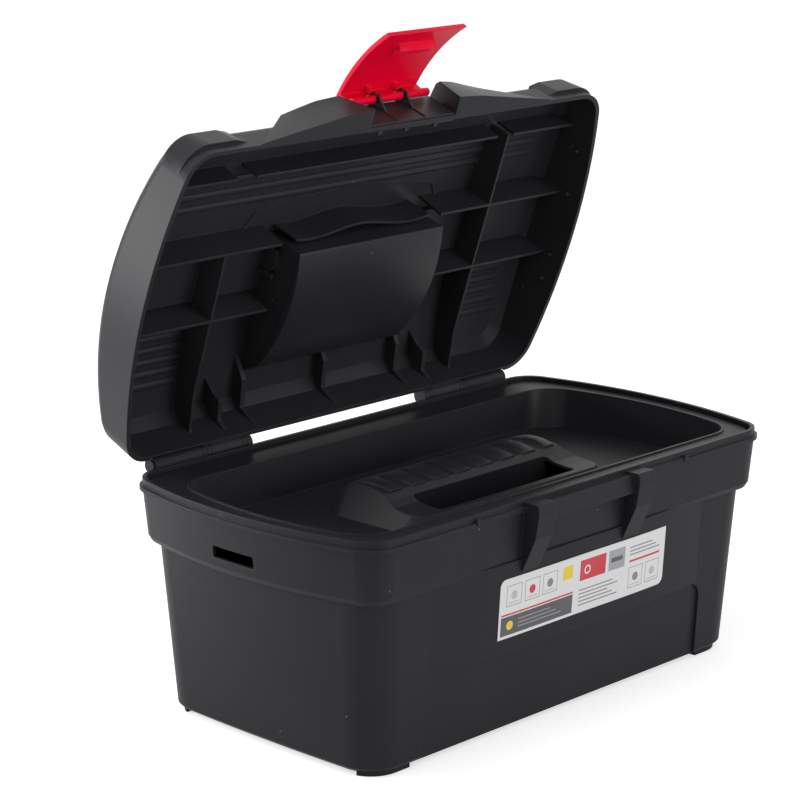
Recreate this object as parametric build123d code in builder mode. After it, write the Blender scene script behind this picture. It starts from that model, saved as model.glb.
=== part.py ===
from build123d import *
import math
import os

# Toolbox with a hinged lid, a snap latch, a folding carry handle and a lift-out tray.
# X runs along the box, the latch side faces -Y, the hinge is at +Y, Z is up.
# The origin is on the ground under the middle of the open box, lid included, so the
# tub's own middle lies a little in front of it. Lengths are in millimetres, and the
# tub's y values below are counted from its own middle.
# The lid stands open here: its own frame has X, then s from the hinge axis to the
# latch edge, and d from the rim plane out to the crown.

# ---- Driving dimensions -------------------------------------------------------------
RIM_LENGTH = 340.0              # tub flange and lid rim, over the bowed ends
RIM_HALF_WIDTH = 91.1
END_BOW = 14.0
RIM_CORNER = 19.0
TUB_Y = -9.3                    # middle of the tub, from the origin
WALL = 2.4
PARTING_GAP = 0.3               # between the closed lid's rim and the tub's lip

FOOT = 2.8
FLOOR = 2.5
FLANGE_TOP = 125.7
FLANGE = 2.2
COLLAR_HEIGHT = 28.1
COLLAR_DRAFT = 5.5              # degrees
COLLAR_INSET = 1.5
COLLAR_WALL = 2.2
COLLAR_EDGE = 3.0
LIP_INSET = 1.4
LIP_THICKNESS = 2.2

LOWER_END_INSET = 10.0          # lower wall under the collar, from the rim
LOWER_SIDE_INSET = 7.1
LOWER_END_SPREAD = 11.0         # growth from the foot up to the collar
LOWER_SIDE_SPREAD = 5.4
LOWER_FOOT_BOW = 2.0
LOWER_TOP_BOW = 9.0
LOWER_CORNER = 20.0
LOWER_CORNER_SPREAD = 2.4
FOOT_EDGE = 2.2
FOOT_LENGTH = 53.0              # corner feet, from the rim's ends and its long sides
FOOT_WIDTH = 27.0

HINGE_OUT = 3.64                # hinge axis, from the rim's rear edge and flange top
HINGE_UP = 4.44
OPEN_ANGLE = 71.0               # from closed to the open pose modelled here

PANEL_TOP = 47.0                # crease above the recessed lower panel
PANEL_END = 58.0                # panel's end, from the end of the rim
PANEL_FOOT_INSET = 14.5         # panel's face at its foot and at the crease, from the rim
PANEL_HEAD_INSET = 11.5
PANEL_CORNER = 9.0
SWELL_INSET = 2.9               # front wall's swell under the collar, from the rim

GUARD_INNER = 34.0              # blocks either side of the latch
GUARD_OUTER = 47.0
STRIP_END = 85.0                # raised strips on the flange beside the guards

KNUCKLE_RADIUS = 4.7
KNUCKLE_INNER = 101.0           # distances of the knuckles' ends from the end of the rim
KNUCKLE_SPLIT = 68.0
KNUCKLE_OUTER = 31.0
KNUCKLE_GAP = 0.4
KNUCKLE_END = 1.6               # closed inner end of the lid's knuckles
PIN_RADIUS = 1.6
PIN_CLEARANCE = 0.2
PIN_HEAD_RADIUS = 3.6
PIN_HEAD = 1.2

LID_OVERHANG = 0.2              # lid's rim past the flange, front and rear
LID_BOW = 13.5
LID_CORNER = 18.8
LID_DRAFT = 3.5                 # degrees
LID_WALL = 2.4
RIB = 1.5

TRAY_FLANGE = 1.7
TRAY_DEPTH = 21.4
TRAY_WALL = 1.8
TRAY_SIDE_GAP = 0.8
TRAY_FRONT_GAP = 2.1            # room for the slanted lift

ROD_OUT = 5.0                   # latch rod, from the lid's front edge and rim
ROD_D = 20.9
ROD_RADIUS = 1.6
LATCH_HALF = 29.3

PIVOT_S = 98.0                  # carry handle pivot in the lid's frame
PIVOT_D = 27.0
PIVOT_RADIUS = 3.0

# ---- Levels and places that follow from them ----------------------------------------
SIDES = (-1, 1)
RIM_END = RIM_LENGTH / 2
FLOOR_TOP = FOOT + FLOOR
FLANGE_BOTTOM = FLANGE_TOP - FLANGE
COLLAR_BOTTOM = FLANGE_BOTTOM - COLLAR_HEIGHT
CAVITY_STEP = COLLAR_BOTTOM + COLLAR_WALL
HINGE_Y = RIM_HALF_WIDTH + HINGE_OUT
HINGE_Z = FLANGE_TOP + HINGE_UP
LIP_TOP = HINGE_Z - PARTING_GAP
TRAY_FLANGE_TOP = FLANGE_TOP + TRAY_FLANGE
TRAY_FLOOR_TOP = TRAY_FLANGE_TOP - TRAY_DEPTH
LEDGE_TOP = TRAY_FLANGE_TOP - TRAY_FLANGE - PARTING_GAP
LEDGE_BOTTOM = LEDGE_TOP - 3.0
LEDGE_INSET = 7.0
PANEL_HALF = RIM_END - PANEL_END
PANEL_FOOT_FACE = PANEL_FOOT_INSET - RIM_HALF_WIDTH
PANEL_HEAD_FACE = PANEL_HEAD_INSET - RIM_HALF_WIDTH
LID_REAR = HINGE_OUT + LID_OVERHANG
LID_FRONT = HINGE_OUT + 2 * RIM_HALF_WIDTH + LID_OVERHANG
ROD_S = LID_FRONT + ROD_OUT

os.makedirs("parts", exist_ok=True)

# ---- Frames -------------------------------------------------------------------------
swing = math.radians(OPEN_ANGLE)
lid_along = (0, -math.cos(swing), math.sin(swing))
lid_outward = (0, math.sin(swing), math.cos(swing))
lid_inward = (0, -math.sin(swing), -math.cos(swing))
MOUTH = Plane(origin=(0, TUB_Y + HINGE_Y, HINGE_Z), x_dir=(1, 0, 0), z_dir=lid_inward)
OUTWARD = Axis((0, 0, 0), lid_outward)


def lid_level(depth):
    """Plane of constant depth in the lid: x, s."""
    return MOUTH.offset(-depth)


def lid_section(x):
    """Cross-section plane of the lid at x: s, d, facing -X."""
    return Plane(origin=(x, TUB_Y + HINGE_Y, HINGE_Z), x_dir=lid_along, z_dir=(-1, 0, 0))


def section(x):
    """Upright cross-section plane of the tub at x: y, z, facing +X."""
    return Plane(origin=(x, TUB_Y, 0), x_dir=(0, 1, 0), z_dir=(1, 0, 0))


def rim_section(x):
    """Upright cross-section plane at x, counted from the flange's upper front edge: y, z."""
    return Plane(origin=(x, TUB_Y - RIM_HALF_WIDTH, FLANGE_TOP), x_dir=(0, 1, 0), z_dir=(1, 0, 0))


def hinge_section(x):
    """Upright cross-section plane at x, counted from the hinge axis: y, z."""
    return Plane(origin=(x, TUB_Y + HINGE_Y, HINGE_Z), x_dir=(0, 1, 0), z_dir=(1, 0, 0))


def level(height):
    """Horizontal plane of the tub at a height: x, y."""
    return Plane(origin=(0, TUB_Y, height))


def facing_front(distance):
    """Upright plane in front of the tub's middle: x, z, facing -Y."""
    return Plane(origin=(0, TUB_Y - distance, 0), x_dir=(1, 0, 0), z_dir=(0, -1, 0))


# ---- Shared outlines ----------------------------------------------------------------
def bowed_outline(half_length, rear, front, bow, corner):
    """Plan with straight long sides at y = rear and front, and ends that bow outwards."""
    shoulder = half_length - bow
    middle = (rear + front) / 2
    with BuildSketch() as outline:
        with BuildLine():
            Line((-shoulder, front), (shoulder, front))
            ThreePointArc((shoulder, front), (half_length, middle), (shoulder, rear))
            Line((shoulder, rear), (-shoulder, rear))
            ThreePointArc((-shoulder, rear), (-half_length, middle), (-shoulder, front))
        make_face()
        fillet(outline.vertices(), corner)
    return outline.sketch


def polygon(*points):
    """Closed straight-sided profile."""
    with BuildSketch() as shape:
        with BuildLine():
            Polyline(*points, close=True)
        make_face()
    return shape.sketch


def tub_plan(inset=0.0):
    """Outline of the flange, drawn in by inset."""
    half_width = RIM_HALF_WIDTH - inset
    return bowed_outline(RIM_END - inset, half_width, -half_width, END_BOW, RIM_CORNER - inset)


# ---- Tub ----------------------------------------------------------------------------
def lower_plan(height, inset=0.0):
    """Outline of the tub's lower wall at a height: wider and more bowed further up."""
    rise = (height - FOOT) / (COLLAR_BOTTOM - FOOT)
    half_length = RIM_END - LOWER_END_INSET - LOWER_END_SPREAD * (1 - rise) - inset
    half_width = RIM_HALF_WIDTH - LOWER_SIDE_INSET - LOWER_SIDE_SPREAD * (1 - rise) - inset
    bow = LOWER_FOOT_BOW + (LOWER_TOP_BOW - LOWER_FOOT_BOW) * rise
    corner = LOWER_CORNER + LOWER_CORNER_SPREAD * rise - inset
    return bowed_outline(half_length, half_width, -half_width, bow, corner)


def lower_form(low, high, inset=0.0, edge=0.0):
    """Solid of the lower wall's outline between two heights, with a bevelled foot."""
    with BuildPart() as body:
        with BuildSketch(level(low + edge)):
            add(lower_plan(low + edge, inset))
        with BuildSketch(level(high)):
            add(lower_plan(high, inset))
        loft()
        if edge > 0:
            with BuildSketch(level(low)):
                add(lower_plan(low, inset + edge))
            with BuildSketch(level(low + edge)):
                add(lower_plan(low + edge, inset))
            loft()
    return body.part


def collar_form(top, bottom, inset=0.0):
    """Solid of the collar, which tapers in below the flange."""
    spread = (FLANGE_BOTTOM - top) * math.tan(math.radians(COLLAR_DRAFT))
    with BuildPart() as body:
        with BuildSketch(level(top)):
            add(tub_plan(COLLAR_INSET + spread + inset))
        extrude(amount=bottom - top, taper=COLLAR_DRAFT)
    return body.part


def front_swell(inset, side_inset):
    """Plan of the front wall's swell: flat in the middle, running out at the sides."""
    y_middle = inset - RIM_HALF_WIDTH
    y_side = side_inset - RIM_HALF_WIDTH
    with BuildSketch() as swell:
        with BuildLine():
            Polyline((-PANEL_HALF, y_side), (-PANEL_HALF, y_side + 12), (PANEL_HALF, y_side + 12),
                     (PANEL_HALF, y_side))
            Spline((PANEL_HALF, y_side), (0.6 * PANEL_HALF, y_middle), (0, y_middle - 0.4),
                   (-0.6 * PANEL_HALF, y_middle), (-PANEL_HALF, y_side))
        make_face()
    return swell.sketch


def swell_form(growth=0.0, base=PANEL_TOP):
    """Solid swell of the front wall, from the crease up into the collar."""
    with BuildPart() as swell:
        with BuildSketch(level(base)):
            add(front_swell(SWELL_INSET + 4.0 - growth, 10.3 - growth))
        with BuildSketch(level(CAVITY_STEP)):
            add(front_swell(SWELL_INSET + 0.6 - growth, 7.5 - growth))
        loft()
    return swell.part


with BuildPart() as recess_form:
    with BuildSketch(facing_front(RIM_HALF_WIDTH + 10)):
        with Locations((0, (PANEL_TOP - 10) / 2)):
            RectangleRounded(2 * PANEL_HALF, PANEL_TOP + 10, PANEL_CORNER)
    extrude(amount=-40)
    with BuildSketch(section(-PANEL_HALF)):
        add(polygon((-RIM_HALF_WIDTH - 10, -20), (PANEL_FOOT_FACE, -20), (PANEL_FOOT_FACE, FOOT),
                    (PANEL_HEAD_FACE, PANEL_TOP), (-RIM_HALF_WIDTH - 10, PANEL_TOP)))
    extrude(amount=2 * PANEL_HALF, mode=Mode.INTERSECT)
panel_recess = recess_form.part

with BuildPart() as tub:
    add(collar_form(FLANGE_BOTTOM, COLLAR_BOTTOM))
    chamfer(tub.faces().sort_by(Axis.Z)[0].edges(), COLLAR_EDGE, 1.5)
    add(lower_form(FOOT, COLLAR_BOTTOM + 1.5, edge=FOOT_EDGE))
    # Four corner feet
    with BuildSketch(level(0)) as feet:
        add(lower_plan(FOOT, FOOT_EDGE + 0.8))
        Rectangle(2 * (RIM_END - FOOT_LENGTH), 2 * RIM_HALF_WIDTH, mode=Mode.SUBTRACT)
        Rectangle(RIM_LENGTH, 2 * (RIM_HALF_WIDTH - FOOT_WIDTH), mode=Mode.SUBTRACT)
    extrude(amount=FOOT + 1)
    # Swelling front wall above the crease
    add(swell_form())
    # Flange and lip
    with BuildSketch(level(FLANGE_BOTTOM)):
        add(tub_plan())
    extrude(amount=FLANGE)
    with BuildSketch(level(FLANGE_TOP)):
        add(tub_plan(LIP_INSET))
    extrude(amount=LIP_TOP - FLANGE_TOP)

    # Recessed lower front panel
    add(panel_recess, mode=Mode.SUBTRACT)

    for side in SIDES:
        # Guards beside the latch
        with BuildSketch(rim_section(side * GUARD_INNER)):
            add(polygon((5.1, -34.7), (2.5, -34.7), (-1.8, -25.7), (-6.4, -15.7), (-8.4, -3.7),
                        (-8.6, 1.3), (-7.1, 2.8), (2.1, 2.8), (5.1, -1.7)))
        extrude(amount=side * (GUARD_OUTER - GUARD_INNER))
        # Raised strip on the flange, with a nub at its end
        with BuildSketch(rim_section(side * GUARD_OUTER)):
            add(polygon((0, -1), (LIP_INSET + 1, -1), (LIP_INSET + 1, 0.9), (0, 0.9)))
        extrude(amount=side * (STRIP_END - GUARD_OUTER))
        with BuildSketch(rim_section(side * (STRIP_END - 3))):
            add(polygon((-0.8, -1.2), (LIP_INSET + 1, -1.2), (LIP_INSET + 1, 2.2), (-0.8, 1.8)))
        extrude(amount=side * 3)
    # Catch strip under which the latch hooks
    with BuildSketch(rim_section(-GUARD_INNER)):
        add(polygon((5.1, -6.4), (-4.5, -8.2), (-3.3, 1.3), (5.1, 1.3)))
    extrude(amount=2 * GUARD_INNER)
    # Knuckles on the outer halves of the hinge
    for side in SIDES:
        with BuildSketch(hinge_section(side * (RIM_END - KNUCKLE_SPLIT + KNUCKLE_GAP / 2))):
            Circle(KNUCKLE_RADIUS)
            add(polygon((-HINGE_OUT - 2.3, -6.1), (-HINGE_OUT, -HINGE_UP - FLANGE), (4.2, -1.9),
                        (4.2, 0), (0, 0), (0, -PARTING_GAP), (-HINGE_OUT - 2.3, -PARTING_GAP)))
        extrude(amount=side * (KNUCKLE_SPLIT - KNUCKLE_OUTER - KNUCKLE_GAP / 2))

    # Hollow, with a ledge for the tray
    add(lower_form(FLOOR_TOP, CAVITY_STEP + 1, WALL), mode=Mode.SUBTRACT)
    add(swell_form(-WALL, PANEL_TOP + WALL), mode=Mode.SUBTRACT)
    with BuildSketch(section(-PANEL_HALF - WALL)):
        add(polygon((PANEL_FOOT_FACE, FLOOR_TOP - 1), (PANEL_HEAD_FACE, PANEL_TOP),
                    (PANEL_HEAD_FACE, PANEL_TOP + WALL), (PANEL_HEAD_FACE + WALL, PANEL_TOP + WALL),
                    (PANEL_FOOT_FACE + WALL, FLOOR_TOP - 1)))
    extrude(amount=2 * (PANEL_HALF + WALL))
    add(collar_form(LEDGE_BOTTOM, CAVITY_STEP, COLLAR_WALL), mode=Mode.SUBTRACT)
    with BuildSketch(level(LEDGE_BOTTOM)):
        add(tub_plan(LEDGE_INSET))
    extrude(amount=LIP_TOP - LEDGE_BOTTOM + 1, mode=Mode.SUBTRACT)
    with BuildSketch(level(LEDGE_TOP)):
        add(tub_plan(LIP_INSET + LIP_THICKNESS))
    extrude(amount=LIP_TOP - LEDGE_TOP + 1, mode=Mode.SUBTRACT)

    # Slots in both ends
    with BuildSketch(section(-RIM_END - 10)):
        with Locations((1, COLLAR_BOTTOM + 10.8)):
            RectangleRounded(30, 6.4, 1)
    extrude(amount=RIM_LENGTH + 20, mode=Mode.SUBTRACT)
    # Pin bores, and room for the lid's knuckles
    for side in SIDES:
        with BuildSketch(hinge_section(side * (RIM_END - KNUCKLE_INNER - KNUCKLE_GAP))):
            Circle(KNUCKLE_RADIUS + KNUCKLE_GAP)
        extrude(amount=side * (KNUCKLE_INNER - KNUCKLE_SPLIT + KNUCKLE_GAP * 1.5), mode=Mode.SUBTRACT)
        with BuildSketch(hinge_section(side * (RIM_END - KNUCKLE_SPLIT))):
            Circle(PIN_RADIUS + PIN_CLEARANCE)
        extrude(amount=side * (KNUCKLE_SPLIT - KNUCKLE_OUTER + 1), mode=Mode.SUBTRACT)

# ---- Tray ---------------------------------------------------------------------------
TRAY_OPENING_END = 15.0         # tray's opening at its top, from the rim's end, rear and front
TRAY_OPENING_REAR = 27.1
TRAY_OPENING_FRONT = 16.1
TRAY_OPENING_BOW = 11.0
TRAY_OPENING_CORNER = 20.0
TRAY_CORNER = 16.0
TRAY_EDGE_GAP = LIP_INSET + LIP_THICKNESS + TRAY_SIDE_GAP
TRAY_BOTTOM = TRAY_FLOOR_TOP - TRAY_WALL
BLOCK_HALF = 79.0               # raised middle block at its foot
BLOCK_FRONT = -48.0
BLOCK_REAR = 31.0
BLOCK_CORNER = 16.0
BLOCK_DRAFT = 29.0              # degrees
GRIP_OPENING_HALF = 54.0
GRIP_OPENING_FRONT = -38.0
GRIP_OPENING_REAR = -16.0
GROOVES = 7
GROOVE_PITCH = 16.0
GROOVE_RADIUS = 6.2
GROOVE_TILT = 13.0              # degrees, down to the rear


def tray_plan(height, inset=0.0):
    """Outline of the tray's opening at a height."""
    drop = (TRAY_FLANGE_TOP - height) / TRAY_DEPTH
    half_length = RIM_END - TRAY_OPENING_END - 6.5 * drop - inset
    rear = RIM_HALF_WIDTH - TRAY_OPENING_REAR - 2.0 * drop - inset
    front = TRAY_OPENING_FRONT - RIM_HALF_WIDTH + 2.5 * drop + inset
    return bowed_outline(half_length, rear, front, TRAY_OPENING_BOW - 2 * drop,
                         TRAY_OPENING_CORNER - inset)


def tray_form(low, high, inset=0.0):
    """Solid of the tray's outline between two heights."""
    with BuildPart() as body:
        for height in (low, high):
            with BuildSketch(level(height)):
                add(tray_plan(height, inset))
        loft()
    return body.part


def grip_block(inset=0.0):
    """Raised block in the tray: its profile drawn along X, between drafted rounded sides."""
    base = TRAY_BOTTOM - inset
    top = TRAY_FLANGE_TOP
    with BuildPart() as block:
        with BuildSketch(section(-BLOCK_HALF - 10)):
            add(polygon((25 - inset, base), (20 - inset, top - 7.8 - inset), (12, top - 4.6 - inset),
                        (4.5, top - 4 - inset), (-3, top - 4.8 - inset), (-11, top - 5.9 - inset),
                        (-16.5 + inset, top - 8.8 - inset), (-21.6, top - 11 - inset),
                        (-30, top - 12 - inset), (-42 + inset, top - 12.2 - inset),
                        (-47.5 + inset, base)))
        extrude(amount=2 * BLOCK_HALF + 20)
        with BuildSketch(level(base)):
            with Locations((0, (BLOCK_FRONT + BLOCK_REAR) / 2)):
                RectangleRounded(2 * (BLOCK_HALF - inset), BLOCK_REAR - BLOCK_FRONT - 2 * inset,
                                 BLOCK_CORNER - inset / 2)
        extrude(amount=top - base, taper=BLOCK_DRAFT, mode=Mode.INTERSECT)
    return block.part


with BuildPart() as tray:
    add(tray_form(TRAY_BOTTOM, TRAY_FLANGE_TOP, -TRAY_WALL))
    with BuildSketch(level(TRAY_FLANGE_TOP - TRAY_FLANGE)):
        add(bowed_outline(RIM_END - TRAY_EDGE_GAP, RIM_HALF_WIDTH - TRAY_EDGE_GAP,
                          TRAY_EDGE_GAP - TRAY_SIDE_GAP + TRAY_FRONT_GAP - RIM_HALF_WIDTH,
                          END_BOW, TRAY_CORNER))
    extrude(amount=TRAY_FLANGE)
    # Bead round the opening
    with BuildSketch(level(TRAY_FLANGE_TOP)):
        add(tray_plan(TRAY_FLANGE_TOP, -1.6))
    extrude(amount=0.9)
    add(tray_form(TRAY_FLOOR_TOP, TRAY_FLANGE_TOP + 2), mode=Mode.SUBTRACT)
    # Grip block with its finger opening, hollow from below
    add(grip_block())
    add(grip_block(TRAY_WALL), mode=Mode.SUBTRACT)
    # Finger grooves down the rear slope of the grip
    for groove in range(GROOVES):
        x = (groove - (GROOVES - 1) / 2) * GROOVE_PITCH - 3
        crest = Plane(origin=(x, TUB_Y, TRAY_FLANGE_TOP + 2.2), x_dir=(1, 0, 0), z_dir=(0, 1, 0))
        with BuildSketch(crest.rotated((-GROOVE_TILT, 0, 0))):
            Circle(GROOVE_RADIUS)
        extrude(amount=26, mode=Mode.SUBTRACT)
    # Finger opening, and the grip's wall behind it
    with BuildSketch(level(TRAY_BOTTOM - 1)):
        with Locations((0, (GRIP_OPENING_FRONT + GRIP_OPENING_REAR) / 2)):
            RectangleRounded(2 * GRIP_OPENING_HALF, GRIP_OPENING_REAR - GRIP_OPENING_FRONT, 3)
    extrude(amount=30, mode=Mode.SUBTRACT)
    with BuildSketch(section(-GRIP_OPENING_HALF)):
        add(polygon((GRIP_OPENING_REAR, TRAY_BOTTOM), (GRIP_OPENING_REAR + TRAY_WALL, TRAY_BOTTOM),
                    (GRIP_OPENING_REAR + TRAY_WALL, TRAY_FLANGE_TOP - 8.4),
                    (GRIP_OPENING_REAR, TRAY_FLANGE_TOP - 9.4)))
    extrude(amount=2 * GRIP_OPENING_HALF)

# ---- Lid ----------------------------------------------------------------------------
CROWN_SECTION = 44.0            # height of the drafted form, before the crown trims it
CROWN_MIDDLE = 37.5
CROWN_SIDE = 20.4
CROWN_EDGE = 6.5                # crown's edge, rounded off in three facets
VALLEY_REAR = 79.6              # shallow valley along the crown
VALLEY_FRONT = 104.4
VALLEY_DEPTH = 34.3
RIB_EDGE = 15.0                 # depth of the ribs' free edges
RIB_LEAN = 4.0
RIB_INNER = 62.0
REAR_RIB = 73.3
MIDDLE_RIB = 113.5
UPPER_RIB = 158.3
UPPER_RIB_GAPS = (93.5, 107.0)
CROSS_RIB = 67.0                # from the end of the rim
GUSSETS = (-60, 3, 62)
OUTER_GUSSETS = (-81, 81)
POCKET_HALF = 53.8
POCKET_WALL = 2.2
POCKET_FRONT = 111.0
BOSS_RADIUS = 6.4
BOSS = 2.5
BEAD_HEIGHT = 0.9
BEAD_WIDTH = 2.0
LONG_BEADS = (134.5, 142.5, 150.5)
SHORT_BEADS = 6
SHORT_BEAD_PITCH = 6.8
SHORT_BEAD_START = 30.0
BLOCK_INNER = 33.0              # latch blocks at the rim
BLOCK_OUTER = 112.0
PAD_INNER = 116.0               # where the raised front corners begin


def lid_plan(depth, inset=0.0):
    """Outline of the lid at a depth: x, s."""
    drawn_in = depth * math.tan(math.radians(LID_DRAFT)) + inset
    return bowed_outline(RIM_END - drawn_in, LID_FRONT - drawn_in, LID_REAR + drawn_in,
                         LID_BOW, LID_CORNER - drawn_in)


def lid_form(inset=0.0):
    """Crowned form of the lid, drawn in by inset, with its crown edge taken off."""
    start = -1 if inset else 0
    side = CROWN_SIDE - inset
    end = LID_FRONT + 14
    with BuildPart() as form:
        with BuildSketch(lid_level(start)):
            add(lid_plan(start, inset))
        extrude(amount=start - CROWN_SECTION, taper=LID_DRAFT)
        with BuildSketch(lid_section(RIM_END + 10)):
            with BuildLine():
                ThreePointArc((-20, side), (LID_FRONT / 2 - 3, CROWN_MIDDLE - inset), (end, side))
                Polyline((end, side), (end, -2), (-20, -2), (-20, side))
            make_face()
        extrude(amount=RIM_LENGTH + 20, mode=Mode.INTERSECT)
        crown = form.faces().sort_by(OUTWARD)[-1]
        chamfer(crown.edges(), CROWN_EDGE - 0.586 * inset)
        if inset == 0:
            faces = form.faces().sort_by(OUTWARD)
            shoulders = [wall.edges().sort_by(OUTWARD)[-1] for wall in faces[1:9]]
            chamfer(faces[-1].edges() + shoulders, 0.3 * CROWN_EDGE)
    return form.part


def crown_valley(inset=0.0):
    """Profile of the valley that runs along the crown."""
    floor = VALLEY_DEPTH - inset
    return polygon((VALLEY_REAR - 4 - inset, 50), (VALLEY_REAR - inset, floor),
                   (VALLEY_FRONT + inset, floor), (VALLEY_FRONT + 4 + inset, 50))


def pocket_profile(inset=0.0):
    """Profile of the hand recess, s and d: a smooth curved floor rising to the rear."""
    front = POCKET_FRONT - inset
    with BuildSketch() as profile:
        with BuildLine():
            Line((front, 60), (front, 6.6 + inset))
            ThreePointArc((front, 6.6 + inset), (70, 9.6 + inset), (34 + inset, 19 + inset))
            Line((34 + inset, 19 + inset), (21 + inset, 36))
            Polyline((21 + inset, 36), (21 + inset, 60), (front, 60))
        make_face()
    return profile.sketch


def latch_block(side, inset=0.0):
    """Hollow block beside the latch: it slopes into the front wall, further out at the rim."""
    root = LID_FRONT + 0.4 if inset else LID_FRONT - 10
    outer = BLOCK_OUTER - 8 if inset else BLOCK_OUTER
    wall = LID_FRONT - inset / 4
    with BuildPart() as block:
        with BuildSketch(lid_level(-inset)):
            add(polygon((side * (BLOCK_INNER + inset), root),
                        (side * (BLOCK_INNER + inset), LID_FRONT + 11 - inset),
                        (side * 52, LID_FRONT + 9.6 - inset), (side * outer, wall + 0.6),
                        (side * outer, root)))
        with BuildSketch(lid_level(30)):
            add(polygon((side * (BLOCK_INNER + 8.5 + inset), root),
                        (side * (BLOCK_INNER + 8.5 + inset), LID_FRONT + 9 - inset),
                        (side * 56, LID_FRONT + 5 - inset), (side * 70, wall),
                        (side * 70, root)))
        loft(ruled=True)
        with BuildSketch(lid_section(RIM_END)):
            add(polygon((150, -5), (LID_FRONT + 14, -5), (LID_FRONT + 14, 17 - inset),
                        (LID_FRONT + 11.5 - inset, 20 - inset), (LID_FRONT + 6.5 - inset, 25.3 - inset),
                        (LID_FRONT - 10, 29.5 - inset), (150, 29.5 - inset)))
        extrude(amount=RIM_LENGTH, mode=Mode.INTERSECT)
    return block.part


def corner_pad():
    """Raised pads over the lid's front corners, as one form that only shows in front."""
    with BuildPart() as pad:
        with BuildSketch(lid_level(6).shift_origin(lid_level(6).from_local_coords((0, 2.6)))):
            add(lid_plan(6, 0.5))
            add(polygon((-PAD_INNER - 16, LID_FRONT + 1), (PAD_INNER + 16, LID_FRONT + 1),
                        (PAD_INNER, LID_FRONT - 3), (PAD_INNER, 0), (-PAD_INNER, 0),
                        (-PAD_INNER, LID_FRONT - 3)), mode=Mode.SUBTRACT)
            Rectangle(RIM_LENGTH, 2 * LID_FRONT - 60, mode=Mode.SUBTRACT)
        extrude(amount=-16, taper=LID_DRAFT + 3)
    return pad.part


def rib_across(s, inner, outer):
    """Leaning rib parallel to the hinge, between two distances from the middle, on both sides."""
    with BuildPart() as rib:
        for side in SIDES:
            with BuildSketch(lid_section(side * inner)):
                add(polygon((s - RIB / 2, RIB_EDGE), (s + RIB / 2, RIB_EDGE),
                            (s + RIB_LEAN + RIB / 2, 50), (s + RIB_LEAN - RIB / 2, 50)))
            extrude(amount=-side * (outer - inner))
    return rib.part


with BuildPart() as lid_cavity:
    add(lid_form(LID_WALL))
    with BuildSketch(lid_section(RIM_END + 10)):
        add(crown_valley(LID_WALL))
    extrude(amount=RIM_LENGTH + 20, mode=Mode.SUBTRACT)

# Beads on the inner crown: an arched one round the recess, long and short straight ones
with BuildPart() as beads:
    with BuildSketch(lid_level(RIB_EDGE)):
        with BuildLine():
            Line((-75.7, POCKET_FRONT + 3), (-69.2, POCKET_FRONT + 13.5))
            ThreePointArc((-69.2, POCKET_FRONT + 13.5), (0, POCKET_FRONT + 20.6),
                          (69.2, POCKET_FRONT + 13.5))
            Line((69.2, POCKET_FRONT + 13.5), (75.7, POCKET_FRONT + 3))
        trace(line_width=BEAD_WIDTH)
        for s in LONG_BEADS:
            with Locations((0, s)):
                Rectangle(RIM_LENGTH - 44, 2 * BEAD_WIDTH)
        for side in SIDES:
            for bead in range(SHORT_BEADS):
                with Locations((side * (RIM_END - 40), SHORT_BEAD_START + bead * SHORT_BEAD_PITCH)):
                    Rectangle(50, 1.6 * BEAD_WIDTH)
    extrude(amount=-40)
    add(lid_form(LID_WALL + BEAD_HEIGHT), mode=Mode.SUBTRACT)

# Stiffening ribs, gussets and the recess's inner shape
with BuildPart() as stiffening:
    add(rib_across(REAR_RIB, RIB_INNER, RIM_END))
    add(rib_across(MIDDLE_RIB, RIB_INNER, RIM_END))
    add(rib_across(UPPER_RIB, UPPER_RIB_GAPS[1], RIM_END))
    add(rib_across(UPPER_RIB, 0, UPPER_RIB_GAPS[0]))
    for side, reach in ((-1, MIDDLE_RIB), (1, UPPER_RIB)):
        with BuildSketch(lid_section(side * (RIM_END - CROSS_RIB) + RIB / 2)):
            add(polygon((0, 1), (8, 12), (30, RIB_EDGE), (reach, RIB_EDGE), (reach + 2, 50), (0, 50)))
        extrude(amount=RIB)
    for x in GUSSETS:
        with BuildSketch(lid_section(x + RIB)):
            add(polygon((0, 1), (6, 3), (10, 18), (26, 21), (40, 34), (0, 50)))
        extrude(amount=2 * RIB)
    for x in OUTER_GUSSETS:
        with BuildSketch(lid_section(x + RIB)):
            add(polygon((0, 1), (5, 2), (9, 13), (20, 15), (22, 21), (30, 34), (0, 50)))
        extrude(amount=2 * RIB)
    with BuildSketch(lid_section(POCKET_HALF + POCKET_WALL)):
        add(pocket_profile())
    extrude(amount=2 * (POCKET_HALF + POCKET_WALL))
    # Wavy rib in front of the recess
    with BuildSketch(lid_level(RIB_EDGE)):
        with BuildLine():
            for shift in (0, RIB):
                Spline((-52, POCKET_FRONT + 3 + shift), (-24, POCKET_FRONT + 3.6 + shift),
                       (-5, POCKET_FRONT + 6 + shift), (14, POCKET_FRONT + 3.8 + shift),
                       (52, POCKET_FRONT + 3 + shift))
            for x in (-52, 52):
                Line((x, POCKET_FRONT + 3), (x, POCKET_FRONT + 3 + RIB))
        make_face()
    extrude(amount=-30)
    # Bosses and clips for the carry handle's pivots
    for side in SIDES:
        with BuildSketch(lid_section(side * (POCKET_HALF + POCKET_WALL))):
            with Locations((PIVOT_S, PIVOT_D)):
                Circle(BOSS_RADIUS)
        extrude(amount=-side * BOSS)
        with BuildSketch(lid_section(side * (POCKET_HALF + POCKET_WALL + BOSS))):
            for s, lean in ((-6.5, -3), (6.5, 3)):
                add(polygon((PIVOT_S + s + lean - 1.6, 50), (PIVOT_S + s - 1.6, PIVOT_D - 7.6),
                            (PIVOT_S + s + 1.6, PIVOT_D - 7.6), (PIVOT_S + s + lean + 1.6, 50)))
        extrude(amount=-side * RIB)
    add(beads.part)
    add(lid_form(LID_WALL / 2), mode=Mode.INTERSECT)

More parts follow.
